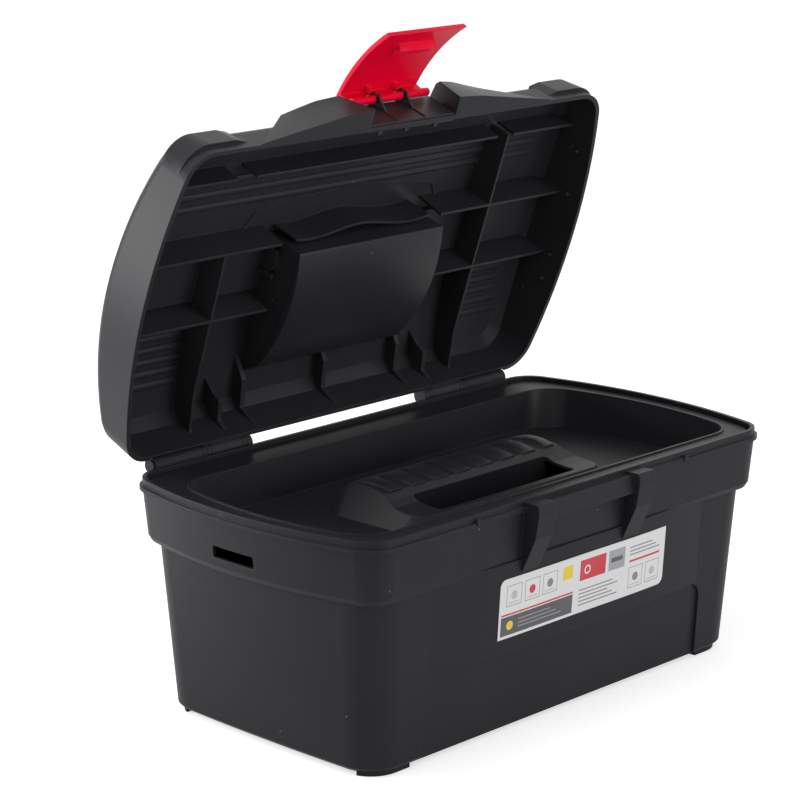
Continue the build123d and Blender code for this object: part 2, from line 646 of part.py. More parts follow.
with BuildPart() as lid:
    add(lid_form())
    add(corner_pad())
    for side in SIDES:
        add(latch_block(side))
    add(lid_cavity.part, mode=Mode.SUBTRACT)
    for side in SIDES:
        add(latch_block(side, POCKET_WALL), mode=Mode.SUBTRACT)
    add(stiffening.part)
    # Hand recess, open to the crown
    with BuildSketch(lid_section(POCKET_HALF)):
        add(pocket_profile(POCKET_WALL))
    extrude(amount=2 * POCKET_HALF, mode=Mode.SUBTRACT)
    with BuildSketch(lid_section(RIM_END + 10)):
        add(crown_valley())
    extrude(amount=RIM_LENGTH + 20, mode=Mode.SUBTRACT)
    # Small lugs under the latch's gap
    for x in (-24, -3.5, 19):
        with BuildSketch(lid_section(x + 1.5)):
            add(polygon((LID_FRONT - 5.5, 0.6), (LID_FRONT - 1, 0.6), (LID_FRONT - 1, 6),
                        (LID_FRONT - 4, 5)))
        extrude(amount=3)
    # C-hooks for the latch rod
    for x in (-11, 10):
        with BuildSketch(lid_section(x + RIB / 2)):
            with Locations((ROD_S, ROD_D)):
                Circle(4.0)
            add(polygon((LID_FRONT - 3, 4), (ROD_S + 1, ROD_D - 4), (ROD_S, ROD_D + 4),
                        (LID_FRONT - 3, 24)))
            with Locations((ROD_S, ROD_D)):
                Circle(ROD_RADIUS + 0.3, mode=Mode.SUBTRACT)
                with Locations((4, 0)):
                    Rectangle(8, 2.4, mode=Mode.SUBTRACT)
        extrude(amount=RIB)
    # Knuckles on the inner halves of the hinge, closed at their inner ends
    for side in SIDES:
        with BuildSketch(lid_section(side * (RIM_END - KNUCKLE_INNER))):
            Circle(KNUCKLE_RADIUS)
            add(polygon((-4, 2.4), (LID_REAR + 1, 9), (LID_REAR + 1, 0), (0, 0)))
        extrude(amount=-side * (KNUCKLE_INNER - KNUCKLE_SPLIT - KNUCKLE_GAP / 2))
        with BuildSketch(lid_section(side * (RIM_END - KNUCKLE_INNER + KNUCKLE_END))):
            Circle(PIN_RADIUS + PIN_CLEARANCE)
        extrude(amount=-side * (KNUCKLE_INNER - KNUCKLE_SPLIT - KNUCKLE_END + 1), mode=Mode.SUBTRACT)
        with BuildSketch(lid_section(side * (RIM_END - KNUCKLE_SPLIT - KNUCKLE_GAP / 2))):
            Circle(KNUCKLE_RADIUS + KNUCKLE_GAP)
        extrude(amount=-side * (KNUCKLE_SPLIT - KNUCKLE_OUTER + PIN_HEAD + KNUCKLE_GAP * 2),
                mode=Mode.SUBTRACT)
    # Blind pivot bores of the carry handle
    with BuildSketch(lid_section(POCKET_HALF + POCKET_WALL + 1)):
        with Locations((PIVOT_S, PIVOT_D)):
            Circle(PIVOT_RADIUS + 0.3)
    extrude(amount=2 * (POCKET_HALF + POCKET_WALL + 1), mode=Mode.SUBTRACT)

# ---- Latch --------------------------------------------------------------------------
LATCH_OPEN = 79.0               # from closed to the open pose modelled here
latch_turn = math.radians(LATCH_OPEN - 90)
rod_axis = MOUTH.from_local_coords((0, ROD_S, -ROD_D))
latch_along = MOUTH.from_local_coords((0, ROD_S + math.cos(latch_turn), -ROD_D - math.sin(latch_turn))) - rod_axis


def latch_section(x):
    """Cross-section plane of the latch at x: along the plate, and out of it, from the rod."""
    return Plane(origin=(x, rod_axis.Y, rod_axis.Z), x_dir=latch_along, z_dir=(-1, 0, 0))


with BuildPart() as latch:
    with BuildSketch(latch_section(LATCH_HALF)):
        with BuildLine():
            ThreePointArc((-3.4, 11.2), (28.5, 5.2), (48.6, -4.4))
            Line((48.6, -4.4), (45.2, -5.4))
            ThreePointArc((45.2, -5.4), (29.1, 2.2), (-2.6, 7.8))
            Line((-2.6, 7.8), (-3.4, 11.2))
        make_face()
    extrude(amount=2 * LATCH_HALF)
    # Cheeks down to the rod
    for side in SIDES:
        with BuildSketch(latch_section(side * LATCH_HALF)):
            Circle(3.2)
            add(polygon((-2.9, 1.2), (-3.2, 10), (14, 7.2), (2.6, -1.9)))
        extrude(amount=side * 3.2)
    with BuildSketch(latch_section(LATCH_HALF - 1)):
        Circle(ROD_RADIUS)
    extrude(amount=2 * (LATCH_HALF - 1))
    # Hook
    with BuildSketch(latch_section(14)):
        add(polygon((33.55, -5.8), (34.05, 2), (36.2, 1.6), (35.3, -5.8)))
    extrude(amount=28)

# ---- Carry handle -------------------------------------------------------------------
HANDLE_HALF = POCKET_HALF - 1.3
HANDLE_REACH = 54.0
HANDLE_DEPTH = 8.0
with BuildPart() as carry_handle:
    with BuildSketch(lid_level(PIVOT_D - 4)):
        with BuildLine():
            Polyline((-HANDLE_HALF, PIVOT_S), (-HANDLE_HALF, PIVOT_S - HANDLE_REACH),
                     (HANDLE_HALF, PIVOT_S - HANDLE_REACH), (HANDLE_HALF, PIVOT_S),
                     (HANDLE_HALF - 9, PIVOT_S), (HANDLE_HALF - 11, PIVOT_S - HANDLE_REACH + 15),
                     (11 - HANDLE_HALF, PIVOT_S - HANDLE_REACH + 15), (9 - HANDLE_HALF, PIVOT_S), close=True)
        make_face()
    extrude(amount=-HANDLE_DEPTH)
    fillet(carry_handle.edges().filter_by(Axis.X), 2.5)
    for side in SIDES:
        with BuildSketch(lid_section(side * HANDLE_HALF)):
            with Locations((PIVOT_S, PIVOT_D)):
                Circle(4)
        extrude(amount=side * 9)
        with BuildSketch(lid_section(side * HANDLE_HALF)):
            with Locations((PIVOT_S, PIVOT_D)):
                Circle(PIVOT_RADIUS)
        extrude(amount=-side * (POCKET_HALF + POCKET_WALL + 0.6 - HANDLE_HALF))

# ---- Hinge pins ---------------------------------------------------------------------
pins = {}
for name, side in (("hinge_pin_left", -1), ("hinge_pin_right", 1)):
    with BuildPart() as hinge_pin:
        with BuildSketch(hinge_section(side * (RIM_END - KNUCKLE_INNER + KNUCKLE_END + 0.4))):
            Circle(PIN_RADIUS)
        extrude(amount=side * (KNUCKLE_INNER - KNUCKLE_OUTER - KNUCKLE_END - 0.4))
        with BuildSketch(hinge_section(side * (RIM_END - KNUCKLE_OUTER))):
            Circle(PIN_HEAD_RADIUS)
        extrude(amount=side * PIN_HEAD)
    pins[name] = hinge_pin

# ---- Label --------------------------------------------------------------------------
LABEL_LEFT = -62.0
LABEL_RIGHT = 73.0
LABEL_BOTTOM = 56.0
LABEL_TOP = 89.0
LABEL_THICKNESS = 0.3
LABEL_GLUE = 0.1
with BuildPart() as front_label:
    add(swell_form(LABEL_GLUE + LABEL_THICKNESS))
    add(swell_form(LABEL_GLUE), mode=Mode.SUBTRACT)
    with BuildSketch(facing_front(100)) as label_outline:
        with Locations(((LABEL_LEFT + LABEL_RIGHT) / 2, (LABEL_BOTTOM + LABEL_TOP) / 2)):
            Rectangle(LABEL_RIGHT - LABEL_LEFT, LABEL_TOP - LABEL_BOTTOM)
        fillet(label_outline.vertices().group_by(Axis.X)[0].sort_by(Axis.Z)[-1], 4)
        fillet(label_outline.vertices().group_by(Axis.X)[-1].sort_by(Axis.Z)[0], 4)
    extrude(amount=-40, mode=Mode.INTERSECT)

# ---- Export -------------------------------------------------------------------------
pieces = {"tub": tub, "tray": tray, "lid": lid, "latch": latch, "carry_handle": carry_handle,
          "front_label": front_label, **pins}
for name, piece in pieces.items():
    piece.part.label = name
    export_step(piece.part, f"parts/{name}.step")
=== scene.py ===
"""Looks of the open toolbox: moulded plastics, the sticker's print, and the studio round it."""

import logging
import math
from dataclasses import dataclass, field, replace
from enum import Enum
from typing import Callable, Dict, List, Optional, Sequence, Tuple

import bpy
from mathutils import Matrix, Vector


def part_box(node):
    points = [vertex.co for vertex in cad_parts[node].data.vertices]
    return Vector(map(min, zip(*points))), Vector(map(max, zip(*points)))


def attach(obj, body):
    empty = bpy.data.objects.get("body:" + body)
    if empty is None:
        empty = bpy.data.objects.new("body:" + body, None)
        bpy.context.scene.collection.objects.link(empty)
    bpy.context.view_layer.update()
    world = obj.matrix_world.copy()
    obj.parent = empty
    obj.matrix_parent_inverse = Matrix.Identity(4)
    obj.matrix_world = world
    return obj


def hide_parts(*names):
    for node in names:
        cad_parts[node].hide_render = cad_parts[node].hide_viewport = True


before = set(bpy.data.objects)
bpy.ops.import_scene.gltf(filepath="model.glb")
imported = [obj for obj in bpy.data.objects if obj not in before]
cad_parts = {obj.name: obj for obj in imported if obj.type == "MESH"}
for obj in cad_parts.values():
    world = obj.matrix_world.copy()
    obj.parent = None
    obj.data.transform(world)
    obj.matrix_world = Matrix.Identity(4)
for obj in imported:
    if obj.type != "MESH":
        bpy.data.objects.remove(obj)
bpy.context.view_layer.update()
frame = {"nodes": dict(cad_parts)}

LOG = logging.getLogger("toolbox")
Colour = Tuple[float, float, float]
Point = Tuple[float, float, float]
Spot = Tuple[float, float]
MM = 0.001                      # one millimetre, in metres


class Ray(Enum):
    """Kinds of ray that Light Path tells apart."""

    CAMERA = "Is Camera Ray"
    GLOSSY = "Is Glossy Ray"
    TRANSMISSION = "Is Transmission Ray"


# ---- Node helpers ---------------------------------------------------------------------


class Graph:
    """A node tree with short ways to add and join nodes."""

    def __init__(self, tree: bpy.types.NodeTree) -> None:
        """Wraps a node tree.

        Args:
            tree: the tree of a material, world or node group.
        """
        self.tree = tree

    def add(self, kind: str, **values: object) -> bpy.types.Node:
        """Adds a node and sets its properties and input values.

        Args:
            kind: the node's type name.
            values: properties by name; an input's name has _ for each space.

        Returns:
            The new node.
        """
        node = self.tree.nodes.new(kind)
        for name, value in values.items():
            if hasattr(node, name):
                setattr(node, name, value)
            else:
                node.inputs[name.replace("_", " ")].default_value = value
        return node

    def join(self, source: bpy.types.NodeSocket, target: bpy.types.NodeSocket) -> None:
        """Joins an output to an input."""
        self.tree.links.new(source, target)

    def math(self, operation: str, first: object, second: object = 0.0,
             clamp: bool = False) -> bpy.types.NodeSocket:
        """Adds a Math node.

        Args:
            operation: the node's operation.
            first: a socket or a number.
            second: a socket or a number.
            clamp: whether the result is held between 0 and 1.

        Returns:
            The result's socket.
        """
        node = self.tree.nodes.new("ShaderNodeMath")
        node.operation = operation
        node.use_clamp = clamp
        for slot, value in zip(node.inputs, (first, second)):
            if isinstance(value, (int, float)):
                slot.default_value = value
            else:
                self.join(value, slot)
        return node.outputs[0]

    def mix(self, factor: object, low: object, high: object) -> bpy.types.NodeSocket:
        """Mixes two colours.

        Args:
            factor: a socket or a number, 0 for low and 1 for high.
            low: a socket or an RGB colour.
            high: a socket or an RGB colour.

        Returns:
            The mixed colour's socket.
        """
        node = self.tree.nodes.new("ShaderNodeMix")
        node.data_type = "RGBA"
        slots = (node.inputs[0], node.inputs[6], node.inputs[7])
        for slot, value in zip(slots, (factor, low, high)):
            if isinstance(value, bpy.types.NodeSocket):
                self.join(value, slot)
            elif isinstance(value, (int, float)):
                slot.default_value = value
            else:
                slot.default_value = (*value, 1.0)
        return node.outputs[2]

    def axes(self, place: bpy.types.NodeSocket, names: str) -> List[bpy.types.NodeSocket]:
        """Takes coordinates out of a place, in millimetres.

        Args:
            place: the place's socket, in metres.
            names: the wanted axes, such as "XZ".

        Returns:
            One socket for each axis.
        """
        split = self.add("ShaderNodeSeparateXYZ")
        self.join(place, split.inputs[0])
        return [self.math("DIVIDE", split.outputs[name], MM) for name in names]


class SharedGroup(Graph):
    """A node group of number sockets, with its two ends and the object's own coordinates."""

    def __init__(self, name: str, inputs: Dict[str, float], outputs: Sequence[str]) -> None:
        """Makes the group.

        Args:
            name: its name.
            inputs: its inputs and their defaults.
            outputs: its outputs.
        """
        super().__init__(bpy.data.node_groups.new(name, "ShaderNodeTree"))
        sockets = self.tree.interface
        for label, default in inputs.items():
            socket = sockets.new_socket(label, in_out="INPUT", socket_type="NodeSocketFloat")
            socket.default_value = default
        for label in outputs:
            sockets.new_socket(label, in_out="OUTPUT", socket_type="NodeSocketFloat")
        self.entry = self.add("NodeGroupInput").outputs
        self.leave = self.add("NodeGroupOutput").inputs
        self.place = self.add("ShaderNodeTexCoord").outputs["Object"]


def new_finish(name: str) -> Tuple[bpy.types.Material, Graph, bpy.types.Node]:
    """Makes a material.

    Args:
        name: its name.

    Returns:
        The material, its node tree and its shader.
    """
    material = bpy.data.materials.new(name)
    material.use_nodes = True
    return material, Graph(material.node_tree), material.node_tree.nodes["Principled BSDF"]


# ---- Finishes -------------------------------------------------------------------------


SPECK_RADIUS = 0.07             # as a share of a cell
# places of the rings of painted shade in the gaps round the hinge knuckles, from the middle
RING_PLACES = (73.0, 76.0, 99.0, 105.0)
RING_HALF_WIDTH = 0.4
RING_REACH = 5.2                # from the hinge axis, just over the knuckles


def moulding_grain() -> bpy.types.NodeTree:
    """Makes the fine texture that a mould leaves, shared by the plastics.

    Returns:
        A group with inputs Scale and Strength, and outputs Height, Mottle and Haze.
    """
    graph = SharedGroup("moulding_grain", {"Scale": 1800.0, "Strength": 1.0},
                        ("Height", "Mottle", "Haze"))
    fine = graph.add("ShaderNodeTexNoise", Detail=3.0, Roughness=0.6)
    graph.join(graph.place, fine.inputs["Vector"])
    graph.join(graph.entry["Scale"], fine.inputs["Scale"])
    height = graph.math("MULTIPLY", fine.outputs["Fac"], graph.entry["Strength"])
    graph.join(height, graph.leave["Height"])
    for output, scale in (("Mottle", 22.0), ("Haze", 7.0)):
        broad = graph.add("ShaderNodeTexNoise", Scale=scale, Detail=4.0, Roughness=0.55)
        graph.join(graph.place, broad.inputs["Vector"])
        graph.join(broad.outputs["Fac"], graph.leave[output])
    return graph.tree


def dust_specks() -> bpy.types.NodeTree:
    """Makes the few pale specks that settle on dark plastic.

    Returns:
        A group with inputs Scale and Share, and the output Mask.
    """
    graph = SharedGroup("dust_specks", {"Scale": 160.0, "Share": 0.05}, ("Mask",))
    cells = graph.add("ShaderNodeTexVoronoi")
    graph.join(graph.place, cells.inputs["Vector"])
    graph.join(graph.entry["Scale"], cells.inputs["Scale"])
    near = graph.math("LESS_THAN", cells.outputs["Distance"], SPECK_RADIUS)
    split = graph.add("ShaderNodeSeparateColor")
    graph.join(cells.outputs["Color"], split.inputs[0])
    chosen = graph.math("LESS_THAN", split.outputs[0], graph.entry["Share"])
    graph.join(graph.math("MULTIPLY", near, chosen), graph.leave["Mask"])
    return graph.tree


def hinge_gap_shade(lid: "LidFrame") -> bpy.types.NodeTree:
    """Marks the painted shade: thin dark rings in the gaps round the hinge knuckles.

    Args:
        lid: the lid's frame, which starts at the hinge axis.

    Returns:
        A group with the output Mask.
    """
    graph = SharedGroup("hinge_gap_shade", {}, ("Mask",))
    x, *across = graph.axes(graph.place, "XYZ")
    off_middle = graph.math("ABSOLUTE", x)
    offs = [graph.math("SUBTRACT", value, axis) for value, axis in zip(across, lid.hinge[1:])]
    squares = [graph.math("MULTIPLY", off, off) for off in offs]
    near = graph.math("LESS_THAN", graph.math("ADD", *squares), RING_REACH ** 2)
    rings: object = 0.0
    for ring in RING_PLACES:
        off = graph.math("ABSOLUTE", graph.math("SUBTRACT", off_middle, ring))
        rings = graph.math("MAXIMUM", rings, graph.math("LESS_THAN", off, RING_HALF_WIDTH))
    graph.join(graph.math("MULTIPLY", near, rings), graph.leave["Mask"])
    return graph.tree


@dataclass(frozen=True)
class MouldedPlastic:
    """Injection-moulded plastic: fine grain, uneven sheen, a little dust, and painted light: a
    highlight along the edges and shade in thin gaps.
    """

    name: str
    colour: Colour
    bloom: Colour
    # edge: a lighter colour painted along the edges as a highlight
    edge: Colour
    roughness: float
    specular: float
    unevenness: float = 0.08
    mottle_gain: float = 2.2
    grain: float = 0.25
    grain_scale: float = 1800.0
    grain_depth: float = 0.0002     # metres
    edge_radius: float = 0.0007     # metres
    # strength of the painted edge highlight
    edge_highlight_gain: float = 2.5
    dust: float = 0.03              # share of the cells that hold a speck
    dust_cover: float = 0.5
    dust_colour: Colour = (0.30, 0.30, 0.30)
    # near-black colour painted where shade falls in thin gaps
    gap_shade_colour: Colour = (0.001, 0.001, 0.001)

    def build(self, grain_group: bpy.types.NodeTree, dust_group: bpy.types.NodeTree,
              gap_shade: Optional[bpy.types.NodeTree] = None) -> bpy.types.Material:
        """Builds the material.

        Args:
            grain_group: the shared grain group.
            dust_group: the shared dust group.
            gap_shade: a group whose Mask marks thin dark bands of painted shade in gaps.

        Returns:
            The material.
        """
        material, graph, shader = new_finish(self.name)
        texture = graph.add("ShaderNodeGroup", node_tree=grain_group)
        texture.inputs["Scale"].default_value = self.grain_scale
        mottle = graph.math("MULTIPLY", texture.outputs["Mottle"], texture.outputs["Haze"])
        mottle = graph.math("MULTIPLY", mottle, self.mottle_gain, clamp=True)
        body = graph.mix(mottle, self.colour, self.bloom)
        rounding = graph.add("ShaderNodeBevel", Radius=self.edge_radius)
        # painted highlight: the colour turns lighter along the edges
        body = graph.mix(self._edge_highlight(graph, rounding), body, self.edge)
        specks = graph.add("ShaderNodeGroup", node_tree=dust_group)
        specks.inputs["Share"].default_value = self.dust
        cover = graph.math("MULTIPLY", specks.outputs["Mask"], self.dust_cover)
        body = graph.mix(cover, body, self.dust_colour)
        # painted shade: the colour goes near-black in thin gaps
        if gap_shade:
            gap_shade_node = graph.add("ShaderNodeGroup", node_tree=gap_shade)
            body = graph.mix(gap_shade_node.outputs["Mask"], body, self.gap_shade_colour)
        graph.join(body, shader.inputs["Base Color"])
        swing = graph.math("MULTIPLY", graph.math("SUBTRACT", texture.outputs["Haze"], 0.5),
                           2 * self.unevenness)
        graph.join(graph.math("ADD", swing, self.roughness, clamp=True),
                   shader.inputs["Roughness"])
        bump = graph.add("ShaderNodeBump", Strength=self.grain, Distance=self.grain_depth)
        graph.join(texture.outputs["Height"], bump.inputs["Height"])
        graph.join(rounding.outputs["Normal"], bump.inputs["Normal"])
        graph.join(bump.outputs["Normal"], shader.inputs["Normal"])
        shader.inputs["Specular IOR Level"].default_value = self.specular
        return material

    def _edge_highlight(self, graph: Graph, rounding: bpy.types.Node) -> bpy.types.NodeSocket:
        """Mask of the painted highlight, which rises towards an edge, where the rounded normal
        leaves the flat one.

        Args:
            graph: the material's node tree.
            rounding: the node that gives the rounded normal.

        Returns:
            The mask.
        """
        surface = graph.add("ShaderNodeNewGeometry")
        agree = graph.add("ShaderNodeVectorMath", operation="DOT_PRODUCT")
        graph.join(surface.outputs["Normal"], agree.inputs[0])
        graph.join(rounding.outputs["Normal"], agree.inputs[1])
        turned = graph.math("SUBTRACT", 1.0, agree.outputs["Value"])
        return graph.math("MULTIPLY", turned, self.edge_highlight_gain, clamp=True)


@dataclass(frozen=True)
class Patch:
    """A shape on the sticker: a rectangle or a disc, in millimetres from its lower left corner."""

    left: float
    right: float
    low: float
    high: float
    colour: Colour
    round: bool = False
    ring: float = 0.0               # width of the rim, where only the rim is printed


RULE_PITCH = 2.1                # the sticker's sizes are in millimetres
RULE_HEIGHT = 0.7
RULE_TRIM = 0.13                # how much shorter each of three rules in turn is
TILE_RIM = 0.35
DOT_RADIUS = 2.4
CAPTION_INSET = 1.6
CAPTION_FOOT = 1.5
CAPTION_HEIGHT = 0.6
RED = (0.58, 0.010, 0.025)
YELLOW = (0.80, 0.58, 0.02)
SLATE = (0.060, 0.060, 0.066)
PALE = (0.46, 0.47, 0.49)
LINE = (0.20, 0.20, 0.215)


def bars(left: float, width: float, low: float, count: int, colour: Colour) -> List[Patch]:
    """Thin rules, one above the other.

    Args:
        left: their left end.
        width: the longest rule's length.
        low: the lowest rule's place.
        count: how many rules.
        colour: their colour.

    Returns:
        The rules as patches.
    """
    rules = []
    for step in range(count):
        right = left + width * (1.0 - RULE_TRIM * (step % 3))
        foot = low + RULE_PITCH * step
        rules.append(Patch(left, right, foot, foot + RULE_HEIGHT, colour))
    return rules


def tile(left: float, low: float, side: float, dot: Colour) -> List[Patch]:
    """A small framed field with a plain disc and a caption bar in it.

    Args:
        left: its left edge.
        low: its lower edge.
        side: its width and height.
        dot: the disc's colour.

    Returns:
        The field as patches.
    """
    x, y = left + side / 2, low + side / 2
    return [Patch(left, left + side, low, low + side, LINE, ring=TILE_RIM),
            Patch(x - DOT_RADIUS, x + DOT_RADIUS, y - DOT_RADIUS, y + DOT_RADIUS, dot, round=True),
            Patch(left + CAPTION_INSET, left + side - CAPTION_INSET, low + CAPTION_FOOT,
                  low + CAPTION_FOOT + CAPTION_HEIGHT, PALE)]


@dataclass
class StickerPrint:
    """Glossy film printed with a plain generic layout of bands, tiles and rules."""

    paper: Colour = (0.72, 0.72, 0.73)
    worn: Colour = (0.55, 0.55, 0.57)
    wear: float = 0.12
    sheen: float = 0.30
    sheen_swing: float = 0.1
    ripple_scale: float = 70.0
    ripple_strength: float = 0.25
    ripple_depth: float = 0.0004    # metres
    patches: List[Patch] = field(default_factory=lambda: [
        Patch(1.6, 58.0, 1.6, 12.0, SLATE),
        Patch(1.6, 58.0, 12.6, 13.6, RED),
        Patch(6.0, 11.0, 4.2, 9.4, YELLOW, round=True),
        *bars(15.0, 34.0, 4.4, 3, (0.26, 0.26, 0.27)),
        *tile(5.0, 17.5, 11.5, PALE),
        *tile(19.0, 17.5, 11.5, RED),
        *tile(33.0, 17.5, 11.5, LINE),
        Patch(49.0, 57.0, 21.5, 29.0, YELLOW),
        *bars(63.0, 32.0, 4.0, 5, LINE),
        Patch(63.0, 84.0, 18.0, 29.5, RED),
        Patch(66.5, 71.5, 21.0, 26.0, (0.75, 0.75, 0.76), round=True, ring=0.8),
        Patch(86.5, 100.0, 18.0, 29.5, (0.33, 0.34, 0.36)),
        Patch(88.5, 98.0, 22.5, 25.0, SLATE),
        *tile(104.0, 4.0, 12.0, LINE),
        *tile(118.5, 4.0, 12.0, PALE),
        Patch(104.0, 130.5, 19.0, 20.2, RED),
        *bars(104.0, 26.0, 23.0, 3, LINE),
    ])

    def build(self, corner: Point) -> bpy.types.Material:
        """Builds the print.

        Args:
            corner: lower left corner of the sticker, in metres.

        Returns:
            The material.
        """
        material, graph, shader = new_finish("sticker_print")
        place = graph.add("ShaderNodeTexCoord").outputs["Object"]
        x, z = graph.axes(place, "XZ")
        across = graph.math("SUBTRACT", x, corner[0] / MM)
        up = graph.math("SUBTRACT", z, corner[2] / MM)
        colour: object = self.paper
        for patch in self.patches:
            colour = graph.mix(self._inside(graph, across, up, patch), colour, patch.colour)
        ripple = graph.add("ShaderNodeTexNoise", Scale=self.ripple_scale, Detail=2.0)
        graph.join(place, ripple.inputs["Vector"])
        wave = ripple.outputs["Fac"]
        graph.join(graph.mix(graph.math("MULTIPLY", wave, self.wear), colour, self.worn),
                   shader.inputs["Base Color"])
        graph.join(graph.math("ADD", graph.math("MULTIPLY", wave, self.sheen_swing), self.sheen),
                   shader.inputs["Roughness"])
        bump = graph.add("ShaderNodeBump", Strength=self.ripple_strength,
                         Distance=self.ripple_depth)
        graph.join(wave, bump.inputs["Height"])
        graph.join(bump.outputs["Normal"], shader.inputs["Normal"])
        return material

    @staticmethod
    def _inside(graph: Graph, across: bpy.types.NodeSocket, up: bpy.types.NodeSocket,
                patch: Patch) -> bpy.types.NodeSocket:
        """Mask that is 1 inside a patch, or on its rim where it is a ring.

        Args:
            graph: the print's node tree.
            across: place from the sticker's left edge.
            up: place from its lower edge.
            patch: the patch.

        Returns:
            The mask.
        """
        sides = ((across, patch.left, patch.right), (up, patch.low, patch.high))
        halves = [(high - low) / 2 for _, low, high in sides]
        offs = [graph.math("ABSOLUTE", graph.math("SUBTRACT", value, (low + high) / 2))
                for value, low, high in sides]
        if patch.round:
            squares = [graph.math("MULTIPLY", off, off) for off in offs]
            reach = graph.math("SQRT", graph.math("ADD", *squares))
            depth = graph.math("SUBTRACT", halves[0], reach)
        else:
            depths = [graph.math("SUBTRACT", half, off) for half, off in zip(halves, offs)]
            depth = graph.math("MINIMUM", *depths)
        inside = graph.math("GREATER_THAN", depth, 0.0)
        if patch.ring:
            inside = graph.math("MULTIPLY", inside, graph.math("LESS_THAN", depth, patch.ring))
        return inside


# ---- Modelling ------------------------------------------------------------------------


def circle_through(first: Spot, second: Spot, third: Spot) -> Tuple[Spot, float]:
    """Finds the circle through three points.

    Args:
        first: a point.
        second: a point.
        third: a point.

    Returns:
        The centre and the radius.
    """
    (ax, ay), (bx, by), (cx, cy) = first, second, third
    twist = 2 * (ax * (by - cy) + bx * (cy - ay) + cx * (ay - by))
    squares = [x * x + y * y for x, y in (first, second, third)]
    x = (squares[0] * (by - cy) + squares[1] * (cy - ay) + squares[2] * (ay - by)) / twist
    y = (squares[0] * (cx - bx) + squares[1] * (ax - cx) + squares[2] * (bx - ax)) / twist
    return (x, y), math.hypot(ax - x, ay - y)


